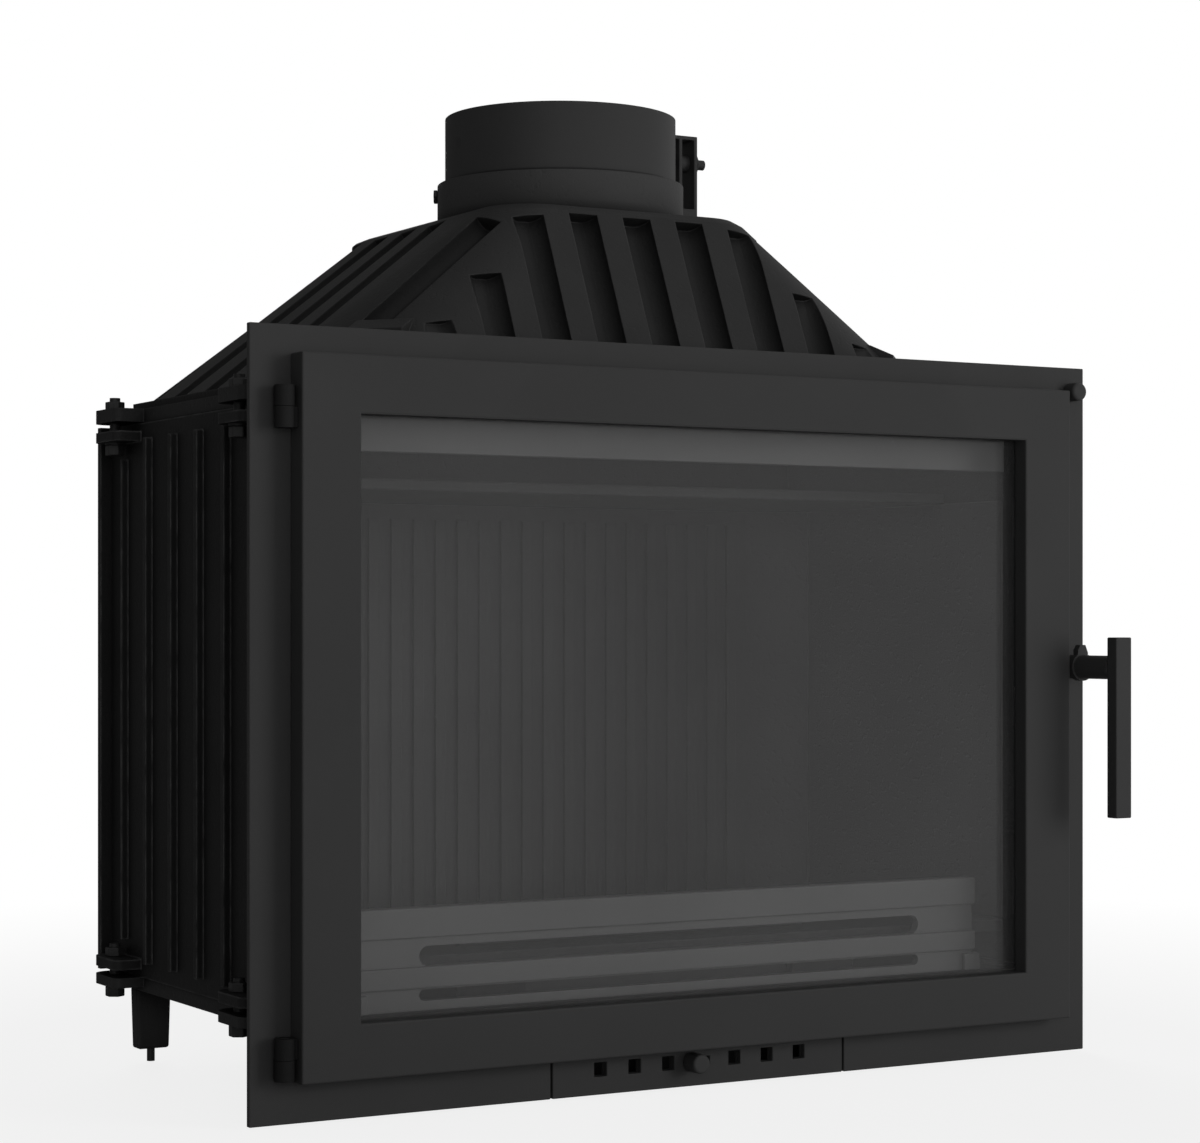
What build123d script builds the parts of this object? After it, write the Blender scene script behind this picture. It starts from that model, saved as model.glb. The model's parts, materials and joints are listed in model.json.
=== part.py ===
from build123d import *
import os
from math import cos, sin, radians

# Fireplace insert of cast iron with a glazed steel door, in millimetres.
# While a piece is modelled, X is 0 at the plate's middle, Y is 0 at the plate's front face with +Y to the
# back, and Z is 0 at the floor. When it is written, it moves along Y, so that the origin is the middle
# of the footprint.

# front plate
plate_width = 700
plate_height = 530
plate_thickness = 5
floor_gap = 2
plate_side_margin = 47
plate_top_margin = 38
plate_bottom_margin = 48
plate_bolt_radius = 3
plate_bolt_inset = 28.6
plate_bolt_x = plate_width / 2 - plate_bolt_inset
plate_bolt_heights = (120, 250, 440)
plate_bolt_tip = 1.5
plate_bolt_flats = 10
plate_bolt_head = 4
plate_top = floor_gap + plate_height
plate_open_half = plate_width / 2 - plate_side_margin
plate_open_low = floor_gap + plate_bottom_margin
plate_open_high = plate_top - plate_top_margin

# door
door_side_margin = 29
door_width = plate_width - 2 * door_side_margin
door_low_margin = 28.5
door_top_margin = 19.5
door_height = plate_height - door_low_margin - door_top_margin
door_low = floor_gap + door_low_margin
door_proud = 20
door_gap = 1.5
door_stile = 43
door_top_rail = 39.5
door_bottom_rail = 37.5
door_rim = 5
glass_reveal = 13.5
gasket_thickness = 1
glass_thickness = 4
glass_lap = 12
glass_gap = 2
rope_width = 9
rope_depth = 8
rope_gap = 0.3
clip_thickness = 2
clip_length = 30
clip_width = 14
clip_bearing = 3
clip_inset = 70
door_edge = 0.8
keeper_front = 3
gasket_lap = 2
door_half = door_width / 2
door_high = door_low + door_height
door_front = -door_proud
door_back = -door_gap
open_half = door_half - door_stile
open_low = door_low + door_bottom_rail
open_high = door_high - door_top_rail
lip_back = door_front + glass_reveal
glass_front = lip_back + gasket_thickness
glass_back = glass_front + glass_thickness
glass_half = open_half + glass_lap
glass_low = open_low - glass_lap
glass_high = open_high + glass_lap

# hinges
hinge_pin_radius = 3
hinge_knuckle_radius = 7
hinge_offset = 8
hinge_depth = 10
hinge_leaf = 14
hinge_play = 0.3
hinge_web = 8
pin_play = 0.05
hinge_lows = (32.5, 462.5)
hinge_x = -door_half - hinge_offset

# lower air inlet
panel_half = 122.2
slit_width = 1.6
panel_high = 33
air_hole = 10
air_hole_pitch = 27.9
air_holes_per_side = 3
air_hole_z = 19.8
slider_thickness = 2
slider_height = 20
slider_half = 98
slider_play = 0.3
slider_travel = 14
knob_x = -10
knob_radius = 7
knob_reach = 17
knob_stem_radius = 2.5
knob_stand = 3
knob_edge = 2
duct_half = 136
duct_depth = 48
duct_wall = 2
duct_gap = 3
duct_inlet = 114
duct_inlet_front = 18
duct_inlet_top = 86
duct_high = 57

# castings
wall_inset = 34
wall_outer = plate_width / 2 - wall_inset
wall_thickness = 8
joint_low_margin = 66
joint_top_margin = 48
joint_low = floor_gap + joint_low_margin
joint_high = plate_top - joint_top_margin
body_back = 352
rear_wall_thickness = 6
wall_flange = 9
rear_wall_half = wall_outer + wall_flange
fin_thickness = 5
fin_height = 5.5
fin_pitch = 50.5
fin_first = 65.7
fin_count = 6
fin_inset = 12
rear_fin_count = 11
base_floor = 7
base_rim = 12
base_lip = 16
sill_depth = 8
sill_lap = 6
base_back_lip = 10
base_inset = 2
base_depth = 11
base_low = joint_low - base_depth
base_floor_top = base_low + base_floor
wall_inner = wall_outer - wall_thickness
front_flange = 10.8
front_flange_reach = wall_outer + front_flange
front_flange_thickness = 8

# corner lugs and their bolts
lug_reach = 21
lug_front = 32
lug_back = 20
lug_front_corner = 6
lug_back_corner = 14
lug_bolt_x = wall_outer + wall_flange
lug_front_bolt_y = 77
lug_bolt_inset = 32
lug_back_bolt_y = body_back - lug_bolt_inset
hood_lug = 10
base_lug = 7.5
wall_lug = 7.5
wall_lug_gap = 6
corner_bolt_radius = 4
corner_bolt_play = 0.4
corner_head_flats = 13
corner_head_height = 8
corner_nut_height = 6.5
corner_bolt_end = 3
washer_radius = 7.5
washer_thickness = 1.6
nut_pocket = 9
nut_room_above = 3

# feet
foot_top = 28
foot_end = 25
foot_depth = 14
foot_inset = 19
foot_x = wall_outer - foot_inset
foot_front_y = 70
foot_back_inset = 34
foot_back_y = body_back - foot_back_inset
foot_low = 10
screw_radius = 3

# hood
hood_flange_thickness = 11
hood_low = joint_high + hood_flange_thickness
hood_inset = 2
hood_foot_height = 7
hood_ledge = 6
hood_base_inset = 13
hood_base_half = wall_outer - hood_base_inset
hood_base_front = 30
hood_back_inset = 4
hood_back = body_back - hood_back_inset
hood_top_half = 109
hood_top_front = 95
hood_rise = 147
hood_top = hood_low + hood_rise
hood_top_edge = 4
hood_base_corner = 120
hood_top_corner = 40
hood_back_corner = 10
hood_wall = 17
hood_roof = 10
groove_pitch = 45.8
groove_depth = 12
groove_floor = 5
groove_mouth = 12
groove_round = 1.6
groove_clear = 30
groove_stops = (6, 6, 9, 56, 92)
side_groove_first = 151
side_groove_pitch = 61
side_groove_count = 4
corner_groove_angle = 36
corner_groove_stop = 12
boss_angle = 40
boss_width = 43
boss_reach = 18
boss_rise = 54
boss_top = hood_low + boss_rise
boss_fall = 8

# flue collar and damper
flue_y = 209
collar_radius = 90
collar_wall = 2
collar_ledge = 2
pipe_depth = 17
neck_wall = 6
neck_height = 32
neck_top = hood_top + neck_height
collar_depth = 22
collar_height = 52
collar_seat = neck_top - collar_depth
collar_top = neck_top + collar_height
neck_ledge = 4
collar_play = 0.3
collar_screw_angles = (150, 60)
collar_screw_radius = 3
collar_screw_height = 15
collar_screw_z = collar_seat + collar_screw_height
collar_screw_flats = 10
collar_screw_head = 3
axle_height = 28
axle_z = neck_top + axle_height
axle_radius = 4
axle_play = 0.05
disc_gap = 2
disc_radius = collar_radius - collar_wall - collar_ledge - disc_gap
disc_thickness = 2.5
strap_reach = collar_radius / 2
strap_width = 12
strap_sheet = 2
strap_foot = 6
bracket_reach = 28
bracket_room = 14
bracket_outer = collar_radius + bracket_reach
bracket_sheet = 3
bracket_inner = collar_radius + bracket_room
bracket_half = 13
bracket_rise = 20
bracket_top = axle_z + bracket_rise
nut_flats = 13
nut_height = 5.5
hub_radius = 7
hub_gap = 0.3
bracket_foot = 22
axle_tail = 13
axle_end = bracket_outer + axle_tail

# handle
handle_inset = 14
handle_x = plate_width / 2 - handle_inset
handle_z = 300
shaft_radius = 9
shaft_back_radius = 6
shaft_back_length = 30
shaft_step = 0.3
shaft_nut_flats = 18
bar_edge = 1
bar_front = 65
bar_thickness = 11
bar_width = 15
bar_above = 23
bar_below = 114
cam_thickness = 6
cam_radius = 10.7
cam_front = 17
nose_reach = 17
nose_base = 10
nose_tip = 5
nose_slopes = (6, 4)
bush_radius = 9
bush_length = 18
keeper_gap = 0.5
keeper_drop = 14
keeper_low = handle_z - keeper_drop
keeper_gap_above = 1
keeper_high = handle_z - keeper_gap_above
keeper_thickness = 5
stud_radius = 7
stud_edge = 2.5
stud_height = 12
stud_side = 12.6
stud_drop = 19
stud_x = plate_width / 2 - stud_side
stud_z = plate_top - stud_drop

# fire side
hearth_gap = 2
hearth_half = wall_inner - hearth_gap
hearth_height = 24
hearth_low = joint_low + hearth_height
hearth_thickness = 10
hearth_front = 44
lining_thickness = 5.7
lining_front = 46
lining_drop = 54
lining_top = joint_high - lining_drop
lining_gap = 6
lining_inner = wall_inner - lining_gap
back_lining_gap = 12
back_lining_face = body_back - back_lining_gap
chamfer_width = 46
chamfer_depth = 29
chamfer_x = lining_inner - chamfer_width
chamfer_y = back_lining_face - chamfer_depth
back_lining_thickness = 6
rib_pitch = 20
rib_width = 9
rib_height = 3
rib_top_gap = 12
baffle_thickness = 8
baffle_front = 120
baffle_gap = 4
baffle_back = back_lining_face - baffle_gap
grate_half = 148
grate_front = 92
grate_back = 268
grate_lap = 8
grate_play = 2
grate_thickness = 10
grate_bars = 15
grate_slot = 9
grate_rim = 20
ash_half = 158
ash_front = 66
ash_back = 294
ash_height = 22
ash_wall = 1.5
ridge_gap = 4
ridge_wall = 8
retainer_inset = 39
retainer_half = lining_inner - retainer_inset
retainer_front = 28
retainer_thickness = 7
retainer_top = 138
retainer_low = 66.5
retainer_rail = 4
slot_low = 97
slot_high = 111
slot_inset = 51
slot_half = retainer_half - slot_inset
low_slot_low = 73
low_slot_high = 81
rail_low = 117
bracket_play = 0.5
bracket_lip = 4
bracket_web = 4
bracket_seat = 13
bracket_grip = 10
retainer_edge = 1.5
deflector_inset = 12
deflector_drop = 33
deflector_half = lining_inner - deflector_inset
deflector_y = 22
deflector_thickness = 3
deflector_gap = 0.3
deflector_screw_radius = 2.4
deflector_screw_head = 2
deflector_low = joint_high - deflector_drop

overall_back = body_back + rear_wall_thickness + fin_height
origin_y = (overall_back - bar_front) / 2


def block(x0, x1, y0, y1, z0, z1):
    """Box between two corners."""
    middle = Pos((x0 + x1) / 2, (y0 + y1) / 2, (z0 + z1) / 2)
    return middle * Box(abs(x1 - x0), abs(y1 - y0), abs(z1 - z0))


def mirrored(shape):
    """The shape's copy on the other side of the middle plane."""
    return mirror(shape, about=Plane.YZ)


def rod_x(radius, x0, x1, y, z):
    """Round bar along X."""
    return Pos((x0 + x1) / 2, y, z) * Rot(0, 90, 0) * Cylinder(radius, abs(x1 - x0))


def rod_y(radius, x, y0, y1, z):
    """Round bar along Y."""
    return Pos(x, (y0 + y1) / 2, z) * Rot(90, 0, 0) * Cylinder(radius, abs(y1 - y0))


def rod_z(radius, x, y, z0, z1):
    """Round bar along Z."""
    return Pos(x, y, (z0 + z1) / 2) * Cylinder(radius, abs(z1 - z0))


def hexagon(flats, height):
    """Hexagon head or nut standing on Z = 0, with two of its flats facing along X."""
    return extrude(RegularPolygon(flats / 2, 6, major_radius=False, rotation=30), height)


def ring(outer_half, outer_low, outer_high, inner_half, inner_low, inner_high, y0, y1):
    """Upright rectangular frame between two Y values."""
    outer = block(-outer_half, outer_half, y0, y1, outer_low, outer_high)
    return outer - block(-inner_half, inner_half, y0 - 1, y1 + 1, inner_low, inner_high)


# plate and air inlet

def front_plate():
    plate = block(-plate_width / 2, plate_width / 2, 0, plate_thickness, floor_gap, plate_top)
    through = plate_thickness + 1
    plate -= block(-plate_open_half, plate_open_half, -1, through, plate_open_low, plate_open_high)
    notch = panel_half + slit_width
    plate -= block(-notch, notch, -1, plate_thickness + 1, floor_gap - 1, panel_high + slit_width)
    plate -= rod_y(shaft_back_radius + axle_play, handle_x, -1, plate_thickness + 1, handle_z)
    for bolt in plate_bolt_places():
        plate -= rod_y(plate_bolt_radius, bolt[0], plate_bolt_tip, plate_thickness + 1, bolt[1])
    return plate


def plate_bolt_places():
    return [(side * plate_bolt_x, z) for side in (-1, 1) for z in plate_bolt_heights]


def plate_bolts():
    bolts = []
    for x, z in plate_bolt_places():
        flange_back = plate_thickness + front_flange_thickness
        shank = rod_y(plate_bolt_radius, x, plate_bolt_tip, flange_back, z)
        head = Pos(x, flange_back, z) * Rot(-90, 0, 0) * hexagon(plate_bolt_flats, plate_bolt_head)
        bolts.append(shank + head)
    return bolts


def air_hole_row():
    return [side * air_hole_pitch * (n + 1) for side in (-1, 1) for n in range(air_holes_per_side)]


def air_panel():
    panel = block(-panel_half, panel_half, 0, plate_thickness, floor_gap, panel_high)
    half = air_hole / 2
    for x in air_hole_row():
        panel -= block(x - half, x + half, -1, plate_thickness + 1, air_hole_z - half, air_hole_z + half)
    slot = knob_stem_radius + slider_play
    right = knob_x + slider_travel + slot
    panel -= block(knob_x - slot, right, -1, plate_thickness + 1, air_hole_z - slot, air_hole_z + slot)
    return panel


def air_duct():
    front = plate_thickness
    rail_front = front + slider_thickness + 2 * slider_play
    back = front + duct_depth
    duct_low = floor_gap + duct_gap
    duct = block(-duct_half, duct_half, front, back, duct_low, duct_high)
    room = slider_half + slider_travel + duct_wall
    low = air_hole_z - slider_height / 2 - slider_play
    high = air_hole_z + slider_height / 2 + slider_play
    duct -= block(-room, room, front - 1, rail_front, low, high)
    window = air_hole_z - air_hole / 2 - 1
    duct -= block(-room, room, front, rail_front + duct_wall + 1, window, air_hole_z + air_hole / 2 + 1)
    inner = duct_half - duct_wall
    floor = duct_low + duct_wall
    duct -= block(-inner, inner, rail_front + duct_wall, back - duct_wall, floor, duct_high + 1)
    return duct


def air_slider():
    front = plate_thickness + slider_play
    half = slider_height / 2
    back = front + slider_thickness
    slider = block(-slider_half, slider_half, front, back, air_hole_z - half, air_hole_z + half)
    hole = air_hole / 2
    for x in air_hole_row():
        slider -= block(x - hole, x + hole, front - 1, back + 1, air_hole_z - hole, air_hole_z + hole)
    return slider


def air_knob():
    stem_end = plate_thickness + slider_play
    stem = rod_y(knob_stem_radius, knob_x, -knob_stand, stem_end, air_hole_z)
    head = rod_y(knob_radius, knob_x, -knob_reach, -knob_stand, air_hole_z)
    head = fillet(head.edges().group_by(Axis.Y)[0], knob_edge)
    return head + stem


# door

def door_frame():
    frame = ring(door_half, door_low, door_high, open_half, open_low, open_high, door_front, door_back)
    frame = chamfer(frame.edges().group_by(Axis.Y)[0], door_edge)
    rebate_half = glass_half + glass_gap
    frame -= block(
        -rebate_half, rebate_half, lip_back, 1, glass_low - glass_gap, glass_high + glass_gap
    )
    groove = rope_loop(rope_depth + 1, 1)
    return frame - groove


def rope_loop(depth, reach):
    outer = door_half - door_rim
    low = door_low + door_rim
    high = door_high - door_rim
    return ring(
        outer, low, high, outer - rope_width, low + rope_width, high - rope_width, -rope_gap - depth, reach
    )


def door_rope():
    return rope_loop(rope_depth + 1 - rope_gap, -rope_gap)


def glass_gasket():
    lap = gasket_lap
    return ring(
        glass_half, glass_low, glass_high, open_half + lap, open_low - lap, open_high + lap,
        lip_back, glass_front,
    )


def door_glass():
    return block(-glass_half, glass_half, glass_front, glass_back, glass_low, glass_high)


def clip_places():
    out = glass_gap + clip_bearing - clip_width / 2
    side_z = (glass_low + clip_inset, (glass_low + glass_high) / 2, glass_high - clip_inset)
    upright = [(side * (glass_half + out), z, 90) for side in (-1, 1) for z in side_z]
    across = [side * glass_half / 2 for side in (-1, 1)]
    level = [(x, z, 0) for x in across for z in (glass_low - out, glass_high + out)]
    return upright + level


def glass_clips():
    clips = []
    for x, z, turn in clip_places():
        clip = Pos(x, glass_back + clip_thickness / 2, z) * Rot(0, turn, 0)
        clip = clip * Box(clip_length, clip_thickness, clip_width)
        clips.append(clip)
    return clips


def door_keeper():
    tip = handle_x - cam_radius - keeper_gap
    back = -keeper_front
    return block(door_half, tip, back - keeper_thickness, back, keeper_low, keeper_high)


def hinge_knuckles():
    knuckles = []
    for n, low in enumerate(hinge_lows):
        z0 = low + hinge_leaf + hinge_play if n == 0 else low
        half = hinge_web / 2
        web = block(hinge_x, -door_half, -hinge_depth - half, -hinge_depth + half, z0, z0 + hinge_leaf)
        knuckle = rod_z(hinge_knuckle_radius, hinge_x, -hinge_depth, z0, z0 + hinge_leaf) + web
        knuckles.append(knuckle - hinge_bore(z0))
    return knuckles


def hinge_lugs():
    lugs = []
    for n, low in enumerate(hinge_lows):
        z0 = low if n == 0 else low + hinge_leaf + hinge_play
        half = hinge_web / 2
        web = block(hinge_x - half, hinge_x + half, -hinge_depth, 0, z0, z0 + hinge_leaf)
        lugs.append(rod_z(hinge_knuckle_radius, hinge_x, -hinge_depth, z0, z0 + hinge_leaf) + web)
        lugs[-1] -= rod_z(hinge_pin_radius, hinge_x, -hinge_depth, z0 - 1, z0 + hinge_leaf + 1)
    return lugs


def hinge_bore(z0):
    return rod_z(hinge_pin_radius + pin_play, hinge_x, -hinge_depth, z0 - 1, z0 + hinge_leaf + 1)


def hinge_pins():
    height = 2 * hinge_leaf + hinge_play
    return [rod_z(hinge_pin_radius, hinge_x, -hinge_depth, low, low + height) for low in hinge_lows]


# handle and latch

def handle_shaft():
    shaft = rod_y(shaft_radius, handle_x, -(bar_front - bar_thickness), -shaft_step, handle_z)
    return shaft + rod_y(shaft_back_radius, handle_x, -shaft_step, shaft_back_length, handle_z)


def handle_bar():
    half = bar_width / 2
    bar = block(
        handle_x - half, handle_x + half, -bar_front, bar_thickness - bar_front,
        handle_z - bar_below, handle_z + bar_above,
    )
    return fillet(bar.edges(), bar_edge)


def latch_cam():
    back = cam_thickness - cam_front
    cam = rod_y(cam_radius, handle_x, -cam_front, back, handle_z)
    corners = [
        (-nose_base / 2, 0), (nose_base / 2, 0),
        (nose_base / 2, nose_reach - nose_slopes[0]), (nose_tip / 2, nose_reach),
        (-nose_tip / 2, nose_reach), (-nose_base / 2, nose_reach - nose_slopes[1]),
    ]
    nose = extrude(Plane.XZ * make_face(Polyline(*corners, close=True)), cam_thickness)
    cam += Pos(handle_x, back, handle_z) * nose
    return cam - rod_y(shaft_radius, handle_x, -cam_front - 1, back + 1, handle_z)


def shaft_bush():
    bush = rod_y(bush_radius, handle_x, plate_thickness, plate_thickness + bush_length, handle_z)
    bore = rod_y(shaft_back_radius + axle_play, handle_x, 0, plate_thickness + bush_length + 1, handle_z)
    return bush - bore


def shaft_nut():
    start = plate_thickness + bush_length + shaft_step
    nut = hexagon(shaft_nut_flats, shaft_back_length - start)
    nut = Pos(handle_x, start, handle_z) * Rot(-90, 0, 0) * nut
    return nut - rod_y(shaft_back_radius, handle_x, 0, shaft_back_length + 1, handle_z)


def corner_stud():
    stud = rod_y(stud_radius, stud_x, -stud_height, 0, stud_z)
    return fillet(stud.edges().group_by(Axis.Y)[0], stud_edge)


# castings

def lug_places():
    return [(side, y) for side in (-1, 1) for y in (lug_front_bolt_y, lug_back_bolt_y)]


def lug(side, y, z0, z1):
    """Corner lug with a rounded outer end, on one side of the body."""
    inner = wall_outer - 2
    outer = wall_outer + lug_reach
    shape = block(inner, outer, y - lug_front, y + lug_back, z0, z1)
    upright = shape.edges().filter_by(Axis.Z).group_by(Axis.X)[-1].sort_by(Axis.Y)
    shape = fillet(upright[0], lug_front_corner)
    upright = shape.edges().filter_by(Axis.Z).group_by(Axis.Y)[-1].sort_by(Axis.X)
    shape = fillet(upright[-1], lug_back_corner)
    return shape if side > 0 else mirrored(shape)


def lug_bores(z0, z1):
    radius = corner_bolt_radius + corner_bolt_play
    return [rod_z(radius, side * lug_bolt_x, y, z0, z1) for side, y in lug_places()]


def fin_places():
    return [fin_first + n * fin_pitch for n in range(fin_count)]


def right_wall():
    wall = block(wall_inner, wall_outer, plate_thickness, body_back, joint_low, joint_high)
    flange_back = plate_thickness + front_flange_thickness
    fin_low = joint_low + fin_inset
    fin_high = joint_high - fin_inset
    wall += block(wall_inner, front_flange_reach, plate_thickness, flange_back, fin_low, fin_high)
    half = fin_thickness / 2
    for y in fin_places():
        wall += block(wall_outer - 1, wall_outer + fin_height, y - half, y + half, fin_low, fin_high)
    low = joint_low + wall_lug_gap
    high = joint_high - wall_lug_gap
    nut_room = corner_head_height + washer_thickness + nut_room_above
    for y in (lug_front_bolt_y, lug_back_bolt_y):
        pocket = (wall_outer, wall_outer + lug_reach, y - nut_pocket, y + nut_pocket)
        wall -= block(*pocket, low, low + wall_lug + nut_room)
        wall -= block(*pocket, high - wall_lug - nut_room, high)
        wall += lug(1, y, low, low + wall_lug)
        wall += lug(1, y, high - wall_lug, high)
    for bore in lug_bores(joint_low, joint_high)[2:]:
        wall -= bore
    for x, z in plate_bolt_places()[3:]:
        wall -= rod_y(plate_bolt_radius, x, 0, flange_back + 1, z)
    return wall


def left_wall():
    return mirrored(right_wall())


def rear_wall():
    back = body_back + rear_wall_thickness
    wall = block(-rear_wall_half, rear_wall_half, body_back, back, joint_low, joint_high)
    for n in range(rear_fin_count):
        x = (n - (rear_fin_count - 1) / 2) * fin_pitch
        wall += block(
            x - fin_thickness / 2, x + fin_thickness / 2, back - 1, back + fin_height,
            joint_low + fin_inset, joint_high - fin_inset,
        )
    return wall


def base_casting():
    back = body_back + rear_wall_thickness
    outer = wall_outer - base_inset
    base = block(-outer, outer, plate_thickness, back, base_low, joint_low)
    inner = outer - base_rim
    base -= block(-inner, inner, base_lip, back - base_back_lip, base_floor_top, joint_low + 1)
    for side, y in lug_places():
        base += lug(side, y, joint_low - base_lug, joint_low)
    x = ash_half + ridge_gap
    y0 = ash_front - ridge_gap
    y1 = ash_back + ridge_gap
    ridge = block(
        -x - ridge_wall, x + ridge_wall, y0 - ridge_wall, y1 + ridge_wall, base_floor_top - 1, hearth_low
    )
    base += ridge - block(-x, x, y0, y1, base_floor_top - 1, hearth_low + 1)
    duct_back = plate_thickness + duct_depth
    base -= block(-duct_half, duct_half, 0, duct_back, base_low - 1, duct_high)
    inlet = duct_inlet
    inlet_back = duct_back - duct_wall
    base -= block(-inlet, inlet, duct_inlet_front, inlet_back, base_low, base_floor_top + 1)
    base -= block(-inlet, inlet, inlet_back - 1, y0 + 1, base_floor_top, duct_inlet_top)
    for bore in lug_bores(base_low - 1, joint_low + 1):
        base -= bore
    for foot in feet_places():
        base -= rod_z(screw_radius, foot[0], foot[1], base_low - 1, base_floor_top - 2)
    return base


def sill_strips():
    """Close the gap under the base casting, behind the plate, on both sides of the duct."""
    outer = wall_outer - base_inset
    back = plate_thickness + sill_depth
    low = plate_open_low - sill_lap
    strips = [block(duct_half, outer, plate_thickness, back, low, base_low)]
    strips.append(block(-outer, -duct_half, plate_thickness, back, low, base_low))
    return strips


def feet_places():
    return [(side * foot_x, y) for side in (-1, 1) for y in (foot_front_y, foot_back_y)]


def feet():
    shapes = []
    for x, y in feet_places():
        top = Plane.XY.offset(base_low) * Rectangle(foot_top, foot_depth)
        end = Plane.XY.offset(foot_low) * Rectangle(foot_end, foot_depth)
        foot = Pos(x, y, 0) * loft([end, top])
        shapes.append(foot - rod_z(screw_radius, x, y, foot_low - 1, base_low + 1))
    return shapes


def levelling_screws():
    return [rod_z(screw_radius, x, y, 0, base_floor_top - 2) for x, y in feet_places()]


def corner_bolts(head_z, nut_z):
    """Bolts of four corners, put in from below: washer and head under head_z, nut on nut_z."""
    bolts = []
    nuts = []
    head_face = head_z - washer_thickness
    for side, y in lug_places():
        seat = Pos(side * lug_bolt_x, y, 0)
        shank = rod_z(corner_bolt_radius, 0, 0, head_face, nut_z + corner_nut_height + corner_bolt_end)
        head = Pos(0, 0, head_face - corner_head_height) * hexagon(corner_head_flats, corner_head_height)
        washer = rod_z(washer_radius, 0, 0, head_face, head_z)
        washer -= rod_z(corner_bolt_radius, 0, 0, head_face, head_z)
        nut = Pos(0, 0, nut_z) * hexagon(corner_head_flats, corner_nut_height)
        nut -= rod_z(corner_bolt_radius, 0, 0, nut_z - 1, nut_z + corner_nut_height + 1)
        bolts.append(seat * (shank + head))
        nuts.append(seat * washer)
        nuts.append(seat * nut)
    return bolts, nuts


# hood

def hood_outline(half, front, back, front_corner, back_corner):
    """Level outline of the hood with large round front corners and small round back ones."""
    outline = make_face(Polyline((-half, front), (half, front), (half, back), (-half, back), close=True))
    corners = outline.vertices().sort_by(Axis.Y)
    outline = fillet(corners[:2], front_corner)
    return fillet(outline.vertices().sort_by(Axis.Y)[-2:], back_corner)


def hood_section(part):
    """Half width, front, and front corner radius of the hood at a share of its rise."""
    half = hood_base_half + part * (hood_top_half - hood_base_half)
    front = hood_base_front + part * (hood_top_front - hood_base_front)
    corner = hood_base_corner + part * (hood_top_corner - hood_base_corner)
    return half, front, corner


def hood_rise_share(z):
    return (z - hood_low) / (hood_top - hood_low)


def level_inset(run):
    """How far a sloping wall reaches inwards when it is cut level."""
    rise = hood_top - hood_low
    return hood_wall * (rise ** 2 + run ** 2) ** 0.5 / rise


def hood_slice(z, side, fore, back):
    """Level outline at one height, set in from the outer surface at the sides, the front and the back."""
    half, front, corner = hood_section(hood_rise_share(z))
    outline = hood_outline(half - side, front + fore, hood_back - back, corner - fore, hood_back_corner)
    return Plane.XY.offset(z) * outline


def hood_mass(low, high, walls):
    """Solid inside the hood's outer surface, or inside its walls, between two heights."""
    side = walls * level_inset(hood_base_half - hood_top_half)
    fore = walls * level_inset(hood_top_front - hood_base_front)
    back = walls * hood_wall
    return loft([hood_slice(low, side, fore, back), hood_slice(high, side, fore, back)], ruled=True)


def hood_crown():
    """Top of the hood, whose edge falls away on all sides."""
    edge = hood_top_edge
    low = hood_slice(hood_top - edge, 0, 0, 0)
    return loft([low, hood_slice(hood_top, edge, edge / 2, edge / 2)], ruled=True)


def groove_tool(start, end, outward):
    """Cutter for one groove: a flared channel whose shoulders are round, run from start to end."""
    along = Vector(*end) - Vector(*start)
    across = Vector(*outward).cross(along)
    plane = Plane(origin=start, x_dir=across, z_dir=along)
    edge = groove_mouth - groove_floor
    turn = -edge * groove_round
    far = groove_clear
    right = RadiusArc((groove_floor, -groove_depth), (groove_mouth, 0), turn)
    left = RadiusArc((-groove_mouth, 0), (-groove_floor, -groove_depth), turn)
    top = Polyline((groove_mouth, 0), (groove_mouth, far), (-groove_mouth, far), (-groove_mouth, 0))
    floor = Line((-groove_floor, -groove_depth), (groove_floor, -groove_depth))
    flip = 1 if plane.y_dir.dot(Vector(*outward)) > 0 else -1
    profile = make_face([right, top, left, floor])
    if flip < 0:
        profile = mirror(profile, about=Plane.XZ)
    return extrude(plane * profile, along.length)


def front_groove(n):
    """Groove on the front slope, counted from the middle."""
    x = n * groove_pitch
    end_z = hood_top - groove_stops[abs(n)]
    end_y = hood_section(hood_rise_share(end_z))[1]
    return groove_tool((x, hood_base_front, hood_low), (x, end_y, end_z), (0, hood_low - hood_top, end_y))


def side_groove(y):
    """Groove on the right slope, which leans back with the slope's narrowing."""
    end_z = hood_top - groove_stops[0]
    share = hood_rise_share(end_z)
    end_x, front, corner = hood_section(share)
    depth = hood_back - hood_base_front
    end_y = hood_back - (hood_back - y) * (hood_back - front) / depth
    outward = (hood_top - hood_low, 0, hood_base_half - hood_top_half)
    return groove_tool((hood_base_half, y, hood_low), (end_x, end_y, end_z), outward)


def corner_point(z, angle):
    """Point on the right front corner, at an angle from the side towards the front."""
    half, front, corner = hood_section(hood_rise_share(z))
    turn = radians(angle)
    return (half - corner + corner * cos(turn), front + corner - corner * sin(turn), z)


def corner_groove():
    start = corner_point(hood_low, corner_groove_angle)
    end = corner_point(hood_top - corner_groove_stop, corner_groove_angle)
    turn = radians(corner_groove_angle)
    along = Vector(*end) - Vector(*start)
    level = Vector(sin(turn), cos(turn), 0)
    outward = level.cross(along)
    return groove_tool(start, end, (outward.X, outward.Y, outward.Z))


def corner_boss():
    """Ledge on the right front corner, whose top falls away outwards."""
    half, front, corner = hood_section(hood_rise_share(boss_top))
    centre = Pos(half - corner, front + corner, 0) * Rot(0, 0, -boss_angle)
    reach = corner + boss_reach
    outline = Polyline(
        (corner / 2, hood_low), (reach, hood_low), (reach, boss_top - boss_fall), (corner, boss_top),
        (corner / 2, boss_top), close=True,
    )
    return centre * extrude(Plane.XZ * make_face(outline), boss_width / 2, both=True)


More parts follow.
